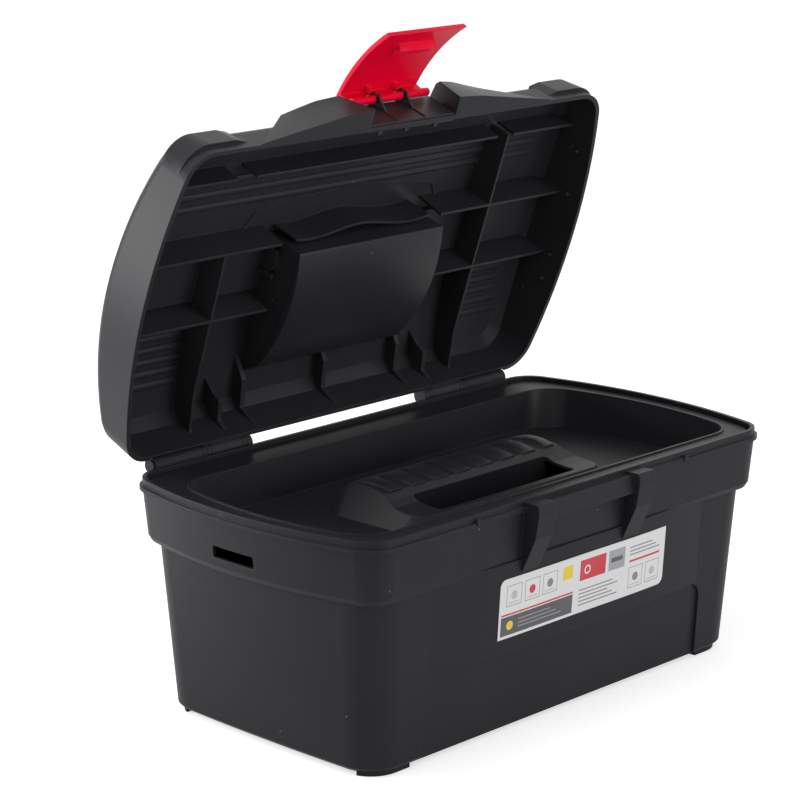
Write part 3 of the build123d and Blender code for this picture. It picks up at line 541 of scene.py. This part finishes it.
class Workshop:
    """Short ways to model a piece by operators, in millimetres of its own frame."""

    edge_segments: int = 2
    edge_angle: float = 40.0        # degrees; a flatter edge isn't rounded
    smooth_angle: float = 28.0      # degrees; a flatter edge is shaded smooth
    overshoot: float = 5.0          # of a cutting form past the piece's ends

    @staticmethod
    def clear() -> None:
        """Deselects everything."""
        bpy.ops.object.select_all(action="DESELECT")

    @classmethod
    def block(cls, name: str, low: Point, high: Point) -> bpy.types.Object:
        """Adds a box.

        Args:
            name: its name.
            low: its lowest corner.
            high: its highest corner.

        Returns:
            The box, with its scale applied.
        """
        cls.clear()
        middle = [(a + b) / 2 * MM for a, b in zip(low, high)]
        size = [(b - a) * MM for a, b in zip(low, high)]
        bpy.ops.mesh.primitive_cube_add(size=1.0, location=middle, scale=size)
        return cls.settled(name)

    @classmethod
    def roller(cls, name: str, left: float, right: float, centre: Spot, radius: float,
               segments: int) -> bpy.types.Object:
        """Adds a cylinder along X.

        Args:
            name: its name.
            left: its left end.
            right: its right end.
            centre: its axis, as the frame's second and third coordinates.
            radius: its radius.
            segments: how many faces go round it.

        Returns:
            The cylinder.
        """
        cls.clear()
        place = ((left + right) / 2 * MM, centre[0] * MM, centre[1] * MM)
        bpy.ops.mesh.primitive_cylinder_add(
            vertices=segments, radius=radius * MM, depth=(right - left) * MM,
            location=place, rotation=(0.0, math.pi / 2, 0.0))
        return cls.settled(name)

    @classmethod
    def settled(cls, name: str) -> bpy.types.Object:
        """Names the newest object and puts its place into its mesh.

        Args:
            name: its name.

        Returns:
            The object.
        """
        piece = bpy.context.object
        piece.name = name
        bpy.ops.object.transform_apply(location=True, rotation=True, scale=True)
        return piece

    @classmethod
    def slide(cls, piece: bpy.types.Object, chosen: Callable[[Vector], bool], by: Point) -> None:
        """Moves the points that a test picks.

        Args:
            piece: the piece.
            chosen: takes a point in millimetres and says whether it moves.
            by: how far it moves.
        """
        cls.clear()
        bpy.context.view_layer.objects.active = piece
        piece.select_set(True)
        for part in (piece.data.vertices, piece.data.edges, piece.data.polygons):
            for item in part:
                item.select = False
        for point in piece.data.vertices:
            point.select = chosen(point.co / MM)
        bpy.ops.object.mode_set(mode="EDIT")
        bpy.ops.mesh.select_mode(type="VERT")
        bpy.ops.transform.translate(value=[length * MM for length in by])
        bpy.ops.object.mode_set(mode="OBJECT")

    @classmethod
    def combine(cls, piece: bpy.types.Object, other: bpy.types.Object, operation: str) -> None:
        """Joins, cuts or keeps the common part of two solids, and removes the second.

        Args:
            piece: the piece that stays.
            other: the piece that is used up.
            operation: UNION, DIFFERENCE or INTERSECT.
        """
        change = piece.modifiers.new("shape", "BOOLEAN")
        change.operation = operation
        change.object = other
        change.solver = "EXACT"
        cls.apply(piece, change)
        bpy.data.objects.remove(other)

    @classmethod
    def unite(cls, piece: bpy.types.Object, parts: Sequence[bpy.types.Object]) -> None:
        """Joins parts to a piece, one after the other."""
        for part in parts:
            cls.combine(piece, part, "UNION")

    @classmethod
    def between_arcs(cls, piece: bpy.types.Object, half: float, outer: Tuple[Spot, float],
                     inner: Tuple[Spot, float], segments: int = 256) -> None:
        """Keeps what lies inside one cylinder along X and outside another.

        Args:
            piece: the piece.
            half: half of its length along X.
            outer: the outer cylinder's axis and radius.
            inner: the inner cylinder's axis and radius.
            segments: how many faces go round each cylinder.
        """
        reach = half + cls.overshoot
        for (centre, radius), operation in ((outer, "INTERSECT"), (inner, "DIFFERENCE")):
            form = cls.roller("form", -reach, reach, centre, radius, segments)
            cls.combine(piece, form, operation)

    @classmethod
    def apply(cls, piece: bpy.types.Object, change: bpy.types.Modifier) -> None:
        """Applies a modifier.

        Args:
            piece: the piece that has it.
            change: the modifier.
        """
        cls.clear()
        bpy.context.view_layer.objects.active = piece
        piece.select_set(True)
        bpy.ops.object.modifier_apply(modifier=change.name)

    @classmethod
    def finish(cls, piece: bpy.types.Object, place: Matrix, material: bpy.types.Material,
               body: str, slot: str, round_off: float = 0.0) -> None:
        """Rounds the edges, puts the piece in its place and hands it over.

        Args:
            piece: the piece.
            place: its own frame in the box's frame.
            material: its finish.
            body: the body that it moves with.
            slot: not used.
            round_off: width of the rounded edges.
        """
        if round_off:
            rounding = piece.modifiers.new("edges", "BEVEL")
            rounding.width = round_off * MM
            rounding.segments = cls.edge_segments
            rounding.angle_limit = math.radians(cls.edge_angle)
            cls.apply(piece, rounding)
        cls.clear()
        bpy.context.view_layer.objects.active = piece
        piece.select_set(True)
        piece.matrix_world = place
        bpy.ops.object.transform_apply(location=True, rotation=True, scale=True)
        bpy.ops.object.shade_smooth_by_angle(angle=math.radians(cls.smooth_angle))
        piece.data.materials.clear()
        piece.data.materials.append(material)
        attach(piece, body)
        LOG.info("%s rides on %s", piece.name, body)


# ---- The box --------------------------------------------------------------------------


def dress(node: str, material: bpy.types.Material) -> None:
    """Gives a CAD node its finish.

    Args:
        node: the node's name.
        material: the finish.
    """
    mesh = frame["nodes"][node].data
    mesh.materials.clear()
    mesh.materials.append(material)
    LOG.info("%s is dressed in %s", node, material.name)


@dataclass(frozen=True)
class LidFrame:
    """The open lid's own frame: X, s from the hinge axis to the latch edge, and d into the lid.

    The frame's third axis points out of the lid's opening, so a place at depth d has -d there.
    """

    hinge: Point = (0.0, 85.44, 130.14)
    opening: float = 71.0

    def matrix(self, s: float = 0.0, d: float = 0.0, turn: float = 0.0) -> Matrix:
        """Frame at a place in the lid.

        Args:
            s: its place along the lid.
            d: its depth below the rim plane, towards the crown.
            turn: turn about X, in degrees.

        Returns:
            The frame's matrix, in metres.
        """
        swing = math.radians(180.0 - self.opening)
        place = Matrix.Translation(Vector(self.hinge) * MM) @ Matrix.Rotation(swing, 4, "X")
        moved = place @ Matrix.Translation((0.0, s * MM, -d * MM))
        return moved @ Matrix.Rotation(math.radians(turn), 4, "X")


@dataclass
class Mouldings:
    """The tub, tray, lid, carry handle and hinge pins, which keep their solids' shapes."""

    black: bpy.types.Material
    # a lighter copy of the same plastic, as painted light on the lid's dim inner face
    lid_lightened_black: bpy.types.Material
    nodes: Sequence[str] = ("tub", "tray", "carry_handle", "hinge_pin_left", "hinge_pin_right")

    def finish(self) -> None:
        """Dresses each moulding."""
        for node in self.nodes:
            dress(node, self.black)
        # the lid takes the lighter copy: painted light on its shaded inner face
        dress("lid", self.lid_lightened_black)


@dataclass
class LidFittings:
    """Forms on the lid: the hand recess's floor, the latch seat, side stubs and crown beads."""

    black: bpy.types.Material
    frame: LidFrame
    recess_half: float = 56.1
    recess_rear: float = 34.0
    recess_front: float = 111.05
    recess_levels: Spot = (-20.0, -2.0)
    recess_outer: Sequence[Spot] = ((111.0, -6.6), (87.0, -3.65), (45.0, -12.95))
    recess_inner: Sequence[Spot] = ((111.0, -7.6), (70.0, -10.6), (34.0, -20.0))
    seat_half: float = 32.9
    seat_foot: float = 182.4
    seat_front_top: float = 187.2
    seat_top: float = 187.75        # under the latch's rod
    seat_fall: float = 1.6          # of the top, from the rod to the back
    seat_levels: Sequence[float] = (-28.2, -20.9, -0.8)
    seat_ribs: Sequence[float] = (-11.0, 10.0)
    seat_rib_half: float = 0.5
    seat_rib_low: Spot = (184.0, -17.5)
    seat_rib_high: Spot = (188.0, -1.4)
    stubs: Sequence[float] = (143.5, 115.0, 74.5, 58.5)
    stub_length: float = 3.2
    stub_radius: float = 1.1
    stub_level: float = -9.0
    side_reach: float = 164.0       # of the lid's side wall, where it is widest
    side_bow: float = 13.0
    side_middle: float = 94.0
    side_span: float = 92.0
    long_beads: Sequence[float] = (134.5, 142.5, 150.5)
    long_bead_end: float = 147.0
    short_beads: int = 6
    short_bead_start: float = 30.0
    short_bead_pitch: float = 6.8
    short_bead_ends: Spot = (105.0, 150.0)
    bead_radius: float = 3.0
    bead_height: float = 0.6        # above the lid's own bead, which the probes meet
    bead_probes: Sequence[float] = (0.15, 0.38, 0.61, 0.84)
    probe_start: float = 4.0        # below the rim plane
    shallowest: float = 14.0        # a bar whose probes all stop sooner is left out

    def build(self) -> None:
        """Builds the fittings."""
        self._recess_floor()
        self._seat()
        for side, name in ((-1, "left"), (1, "right")):
            for number, s in enumerate(self.stubs):
                self._stub(side, f"side_stub_{name}_{number}", s)
        near, far = self.short_bead_ends
        short = [self.short_bead_start + self.short_bead_pitch * number
                 for number in range(self.short_beads)]
        self._beads("crown_beads_front", (-self.long_bead_end, self.long_bead_end),
                    self.long_beads)
        self._beads("crown_beads_left", (-far, -near), short)
        self._beads("crown_beads_right", (near, far), short)

    def _finish(self, piece: bpy.types.Object, round_off: float = 0.0) -> None:
        """Puts a piece in its place on the lid."""
        Workshop.finish(piece, self.frame.matrix(), self.black, "lid", "black_plastic", round_off)

    def _beads(self, name: str, span: Spot, places: Sequence[float]) -> None:
        """Parallel round bars along X, sunk in the lid's crown over its own beads.

        They are thicker than the lid's wall, so they also stand out on its outer side.

        Args:
            name: the piece's name.
            span: their two ends.
            places: where each bar runs, from the hinge.
        """
        rollers: List[bpy.types.Object] = []
        for s in places:
            depth = max(self._crown_depth(span[0] + (span[1] - span[0]) * share, s)
                        for share in self.bead_probes)
            if depth >= self.shallowest:
                centre = (s, self.bead_height - self.bead_radius - depth)
                rollers.append(Workshop.roller(name, *span, centre, self.bead_radius, 32))
        Workshop.unite(rollers[0], rollers[1:])
        self._finish(rollers[0])

    def _crown_depth(self, x: float, s: float) -> float:
        """Measures how deep the lid is behind a point of its rim plane.

        Args:
            x: the point's place along the hinge.
            s: its place along the lid.

        Returns:
            The depth of the inner face in millimetres, or 0 where there is none.
        """
        place = self.frame.matrix()
        start = place @ Vector((x * MM, s * MM, -self.probe_start * MM))
        found, where, _, _ = frame["nodes"]["lid"].ray_cast(start, -place.col[2].to_3d())
        return self.probe_start + (where - start).length / MM if found else 0.0

    def _recess_floor(self) -> None:
        """Crowned floor of the hand recess, seen from inside the lid."""
        low, high = self.recess_levels
        floor = Workshop.block("recess_floor", (-self.recess_half, self.recess_rear, low),
                               (self.recess_half, self.recess_front, high))
        Workshop.between_arcs(floor, self.recess_half, circle_through(*self.recess_outer),
                              circle_through(*self.recess_inner))
        self._finish(floor, 0.6)

    def _seat(self) -> None:
        """Seat between the latch blocks, under the latch's rod, with a rib below each hook."""
        half, foot = self.seat_half, self.seat_foot
        rear, rod, front = self.seat_levels
        seat = Workshop.block("latch_seat", (-half, foot, rod), (half, self.seat_front_top, front))
        Workshop.slide(seat, lambda point: point.y > foot + 1 and point.z < rod + 0.05,
                       (0.0, self.seat_top - self.seat_front_top, 0.0))
        back = Workshop.block("seat_back", (-half, foot, rear), (half, self.seat_top, rod + 0.1))
        Workshop.slide(back, lambda point: point.y > foot + 1 and point.z < rear + 0.05,
                       (0.0, -self.seat_fall, 0.0))
        Workshop.combine(seat, back, "UNION")
        for hook in self.seat_ribs:
            rib = Workshop.block("seat_rib", (hook - self.seat_rib_half, *self.seat_rib_low),
                                 (hook + self.seat_rib_half, *self.seat_rib_high))
            Workshop.combine(seat, rib, "UNION")
        self._finish(seat, 0.4)

    def _stub(self, side: int, name: str, s: float) -> None:
        """Short ejector stub on the lid's inner side wall.

        Args:
            side: -1 for the left wall and 1 for the right one.
            name: the piece's name.
            s: its place along the lid.
        """
        reach = self.side_reach - self.side_bow * ((s - self.side_middle) / self.side_span) ** 2
        left, right = sorted((side * reach, side * (reach + self.stub_length)))
        stub = Workshop.roller(name, left, right, (s, self.stub_level), self.stub_radius, 16)
        self._finish(stub, 0.3)


@dataclass
class GripPad:
    """Scalloped top of the tray's grip, in the box's own frame."""

    black: bpy.types.Material
    level: float = 127.4            # top of the tray's flange
    half: float = 66.0
    front: float = -20.8
    rear: float = 11.6
    depth: float = 12.0
    profile: Sequence[Spot] = ((-20.3, -4.7), (-4.8, -3.0), (11.7, -7.2))
    thickness: float = 2.2
    scallops: int = 7
    pitch: float = 17.7
    first: float = -52.2
    scallop_radius: float = 6.0
    scallop_length: float = 34.0
    scallop_place: Spot = (-10.3, 0.7)
    scallop_lean: float = -83.0     # degrees about X, so that it is deeper in front

    def build(self) -> None:
        """Builds the pad with its scallops."""
        pad = Workshop.block("grip_pad", (-self.half, self.front, self.level - self.depth),
                             (self.half, self.rear, self.level))
        Workshop.between_arcs(pad, self.half, circle_through(*self._arc(0.0)),
                              circle_through(*self._arc(-self.thickness)))
        for number in range(self.scallops):
            cutter = self._cutter(self.first + number * self.pitch)
            Workshop.combine(pad, cutter, "DIFFERENCE")
        Workshop.finish(pad, Matrix.Identity(4), self.black, "tray", "black_plastic", 0.3)

    def _arc(self, lift: float) -> List[Spot]:
        """Three points of the pad's profile across the grip, moved up by a lift."""
        return [(y, self.level + z + lift) for y, z in self.profile]

    def _cutter(self, x: float) -> bpy.types.Object:
        """Round cutter of one scallop, deeper at the grip's front edge.

        Args:
            x: the scallop's middle.

        Returns:
            The cutter.
        """
        y, z = self.scallop_place
        Workshop.clear()
        bpy.ops.mesh.primitive_cylinder_add(
            vertices=64, radius=self.scallop_radius * MM, depth=self.scallop_length * MM,
            location=(x * MM, y * MM, (self.level + z) * MM),
            rotation=(math.radians(self.scallop_lean), 0.0, 0.0))
        return Workshop.settled("scallop")


@dataclass
class Latch:
    """The red latch: a curved plate, a wedge that catches the tub, and the rod it turns on."""

    red: bpy.types.Material
    frame: LidFrame
    rod_s: float = 191.04
    rod_d: float = 20.9
    lean: float = 11.0
    half: float = 29.3
    thickness: float = 2.5
    profile: Sequence[Spot] = ((-3.4, -11.2), (28.5, -5.2), (48.6, 4.4))
    plate_low: Spot = (-3.6, -12.5)
    plate_high: Spot = (47.6, 6.5)
    wedge_ends: Spot = (-12.5, 15.3)
    lip_low: Spot = (33.8, -1.4)
    lip_high: Spot = (36.6, 4.1)
    lip_slope: float = 2.6
    foot_low: Spot = (28.5, -3.6)
    foot_high: Spot = (36.0, 0.2)
    foot_slope: float = 2.3
    rod: float = 1.6
    sleeve: float = 2.25
    web_low: Spot = (-2.9, -9.2)
    web_high: Spot = (-1.0, -0.6)
    hooks: Sequence[float] = (-11.0, 10.0)
    hook_gap: float = 1.5
    tab_half: float = 1.6
    tab_low: Spot = (-2.4, -9.5)
    tab_high: Spot = (3.2, -6.6)

    def build(self) -> None:
        """Builds the latch and lets it stand for its solid."""
        plate = self._plate()
        Workshop.unite(plate, (self._wedge(), self._rod(), *self._webs()))
        place = self.frame.matrix(self.rod_s, self.rod_d, self.lean)
        Workshop.finish(plate, place, self.red, "latch", "red_plastic", 0.35)
        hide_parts("latch")

    def _plate(self) -> bpy.types.Object:
        """Curved plate between two arcs.

        Returns:
            The plate, in the latch's own frame.
        """
        centre, radius = circle_through(*self.profile)
        plate = Workshop.block("latch_plate", (-self.half, *self.plate_low),
                               (self.half, *self.plate_high))
        Workshop.between_arcs(plate, self.half, (centre, radius),
                              (centre, radius - self.thickness), 320)
        return plate

    def _wedge(self) -> bpy.types.Object:
        """Lip that hooks under the tub's catch strip, and the foot that carries it.

        Returns:
            The wedge.
        """
        left, right = self.wedge_ends
        (_, lip_top), (_, foot_base) = self.lip_high, self.foot_low
        wedge = Workshop.block("wedge", (left, *self.lip_low), (right, *self.lip_high))
        Workshop.slide(wedge, lambda point: point.y > 36 and point.z > lip_top - 0.1,
                       (0.0, 0.0, -self.lip_slope))
        foot = Workshop.block("foot", (left, *self.foot_low), (right, *self.foot_high))
        Workshop.slide(foot, lambda point: point.y > 35 and point.z < foot_base + 0.1,
                       (0.0, 0.0, self.foot_slope))
        Workshop.combine(wedge, foot, "UNION")
        return wedge

    def _rod(self) -> bpy.types.Object:
        """Rod in the lid's hooks."""
        return Workshop.roller("rod", -self.half, self.half, (0.0, 0.0), self.rod, 32)

    def _webs(self) -> List[bpy.types.Object]:
        """Sleeves on the rod, the webs that carry them beside each hook, and a tab behind it.

        Returns:
            The parts, which are joined to the plate.
        """
        stops = [-self.half]
        for hook in self.hooks:
            stops += [hook - self.hook_gap, hook + self.hook_gap]
        stops.append(self.half)
        parts = []
        for left, right in zip(stops[::2], stops[1::2]):
            parts.append(Workshop.block("web", (left, *self.web_low), (right, *self.web_high)))
            parts.append(Workshop.roller("sleeve", left, right, (0.0, 0.0), self.sleeve, 32))
        for hook in self.hooks:
            parts.append(Workshop.block("tab", (hook - self.tab_half, *self.tab_low),
                                        (hook + self.tab_half, *self.tab_high)))
        return parts


class Sticker:
    """The printed sticker on the front wall."""

    def finish(self) -> None:
        """Dresses the sticker."""
        low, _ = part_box("front_label")
        dress("front_label", StickerPrint().build(tuple(low)))


# ---- The studio -----------------------------------------------------------------------


@dataclass(frozen=True)
class Softbox:
    """A square lamp that looks at the box."""

    name: str
    place: Point
    size: float
    power: float

    def build(self, target: Vector) -> None:
        """Adds the lamp.

        Args:
            target: the point that it looks at.
        """
        data = bpy.data.lights.new(self.name, "AREA")
        data.shape = "SQUARE"
        data.size = self.size
        data.energy = self.power
        lamp = bpy.data.objects.new(self.name, data)
        lamp.location = self.place
        lamp.visible_camera = False
        lamp.rotation_euler = (target - Vector(self.place)).to_track_quat("-Z", "Y").to_euler()
        bpy.context.scene.collection.objects.link(lamp)


@dataclass
class Studio:
    """Floor, backdrop light, lamps and camera."""

    target: Point = (0.0, 0.0, 0.16)
    lamps: Sequence[Softbox] = (
        Softbox("key_light", (-0.6, 0.1, 1.5), 0.8, 4.5),
        Softbox("front_light", (0.45, -1.65, 0.30), 0.7, 10.0),
        Softbox("end_light", (-0.62, 0.55, 0.30), 0.4, 4.2),
    )
    ambient: float = 0.56
    floor_radius: float = 6.0
    floor_grey: float = 0.82
    floor_glow: float = 0.6
    floor_reflected: float = 0.3
    camera_place: Point = (-1.0572, -0.9849, 0.5261)
    camera_tilt: float = 75.33
    camera_turn: float = -45.85
    lens: float = 123.15
    shift: Spot = (0.0103, 0.0182)

    def build(self) -> None:
        """Builds the whole studio."""
        self._world()
        self._floor()
        for lamp in self.lamps:
            lamp.build(Vector(self.target))
        self._camera()
        bpy.context.scene.view_settings.view_transform = "Standard"

    @staticmethod
    def _seen(graph: Graph, reflected: float = 1.0) -> bpy.types.NodeSocket:
        """Makes a mask for the rays that show the backdrop.

        Args:
            graph: the tree that it is made in.
            reflected: its value for glossy and transmission rays, with 1 for camera rays.

        Returns:
            The mask.
        """
        path = graph.add("ShaderNodeLightPath")
        both = graph.math("MAXIMUM", path.outputs[Ray.GLOSSY.value],
                          path.outputs[Ray.TRANSMISSION.value])
        return graph.math("MAXIMUM", path.outputs[Ray.CAMERA.value],
                          graph.math("MULTIPLY", both, reflected))

    def _world(self) -> None:
        """White surroundings, with a plainer level for the light that they give."""
        world = bpy.data.worlds.new("white_surroundings")
        bpy.context.scene.world = world
        world.use_nodes = True
        graph = Graph(world.node_tree)
        background = world.node_tree.nodes["Background"]
        extra = graph.math("MULTIPLY", self._seen(graph), 1.0 - self.ambient)
        strength = graph.math("ADD", extra, self.ambient)
        background.inputs["Color"].default_value = (1.0, 1.0, 1.0, 1.0)
        graph.join(strength, background.inputs["Strength"])

    def _floor(self) -> None:
        """White floor that keeps the box's shadow."""
        bpy.ops.mesh.primitive_circle_add(vertices=96, radius=self.floor_radius,
                                          fill_type="NGON", location=(0.0, 0.0, 0.0))
        floor = bpy.context.object
        floor.name = "floor"
        material, graph, shader = new_finish("white_floor")
        shader.inputs["Base Color"].default_value = (*[self.floor_grey] * 3, 1.0)
        shader.inputs["Roughness"].default_value = 0.9
        shader.inputs["Specular IOR Level"].default_value = 0.0
        shader.inputs["Emission Color"].default_value = (1.0, 1.0, 1.0, 1.0)
        glow = graph.math("MULTIPLY", self._seen(graph, self.floor_reflected), self.floor_glow)
        graph.join(glow, shader.inputs["Emission Strength"])
        floor.data.materials.append(material)

    def _camera(self) -> None:
        """Camera at the product view's angle."""
        data = bpy.data.cameras.new("camera")
        data.lens = self.lens
        data.shift_x, data.shift_y = self.shift
        data.clip_end = 20.0
        camera = bpy.data.objects.new("camera", data)
        camera.location = self.camera_place
        camera.rotation_euler = (math.radians(self.camera_tilt), 0.0,
                                 math.radians(self.camera_turn))
        bpy.context.scene.collection.objects.link(camera)
        bpy.context.scene.camera = camera


def main() -> None:
    """Builds the pieces in order."""
    logging.basicConfig(level=logging.INFO)
    grain = moulding_grain()
    dust = dust_specks()
    lid = LidFrame()
    plastic = MouldedPlastic(
        "black_polypropylene", colour=(0.0158, 0.0149, 0.0178), bloom=(0.0212, 0.0201, 0.0234),
        edge=(0.044, 0.042, 0.048), roughness=0.38, specular=0.14)
    # the lid takes a lighter copy of the same plastic: painted light where its inner face lies in
    # shade
    lid_lightened_plastic = replace(
        plastic, name="black_polypropylene_lid_lightened", colour=(0.0220, 0.0208, 0.0240),
        bloom=(0.0290, 0.0276, 0.0312), edge=(0.055, 0.054, 0.060))
    red_plastic = MouldedPlastic(
        "red_latch_plastic", colour=(0.82, 0.0010, 0.028), bloom=(0.88, 0.002, 0.038),
        edge=(0.90, 0.07, 0.12), roughness=0.34, specular=0.06, grain=0.08, dust=0.01)
    # painted shade in the gaps round the hinge knuckles, on the tub's and the lid's plastic
    rings = hinge_gap_shade(lid)
    black = plastic.build(grain, dust, rings)
    lid_lightened_black = lid_lightened_plastic.build(grain, dust, rings)
    red = red_plastic.build(grain, dust)
    Mouldings(black, lid_lightened_black).finish()
    # the lid's fittings also take the lighter copy
    LidFittings(lid_lightened_black, lid).build()
    GripPad(black).build()
    Latch(red, lid).build()
    Sticker().finish()
    Studio().build()


if __name__ == "__main__":
    main()
